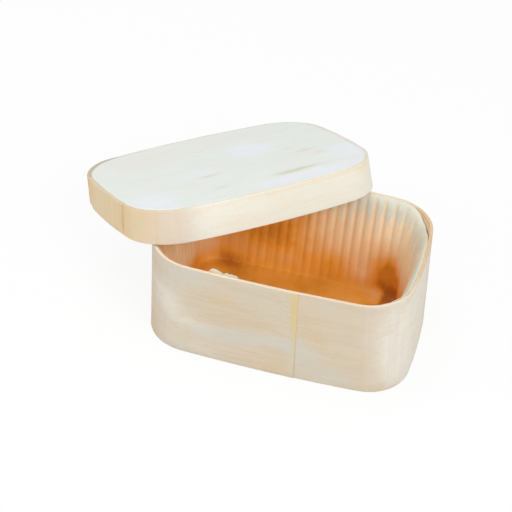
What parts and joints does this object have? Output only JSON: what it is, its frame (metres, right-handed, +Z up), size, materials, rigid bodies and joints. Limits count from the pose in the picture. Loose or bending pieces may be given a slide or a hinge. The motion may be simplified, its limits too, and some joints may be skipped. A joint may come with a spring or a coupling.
{
  "type": "lidded veneer box",
  "caption": "Small rectangular bent-veneer food box with round corners, a lift-off lid lying askew on its rim and a fluted paper case inside.",
  "frame": {"origin": "on the underside of the floor board, at the middle of the box's foot", "axes": "+X along the box's long side, +Y towards its back, +Z up towards the lid"},
  "size_m": [0.2087, 0.1719, 0.0857],
  "materials": {
    "box_veneer": "unfinished peeled poplar",
    "lid_veneer": "unfinished peeled poplar",
    "lid_board": "unfinished pale poplar",
    "floor_board": "unfinished peeled poplar",
    "case_paper": "pressed baking paper"
  },
  "bodies": {
    "box": {"box_band": "box_veneer", "box_floor": "floor_board"},
    "case": {"paper_case": "case_paper"},
    "lid": {"lid_band": "lid_veneer", "lid_panel": "lid_board"}
  },
  "joints": [
    {"name": "case_lift", "type": "slide", "parent": "box", "child": "case", "axis": [0, 0, 1], "range_m": [0, 0.075]},
    {"name": "lid_lift", "type": "slide", "parent": "case", "child": "lid", "axis": [0, 0, 1], "range_m": [0, 0.06]}
  ]
}
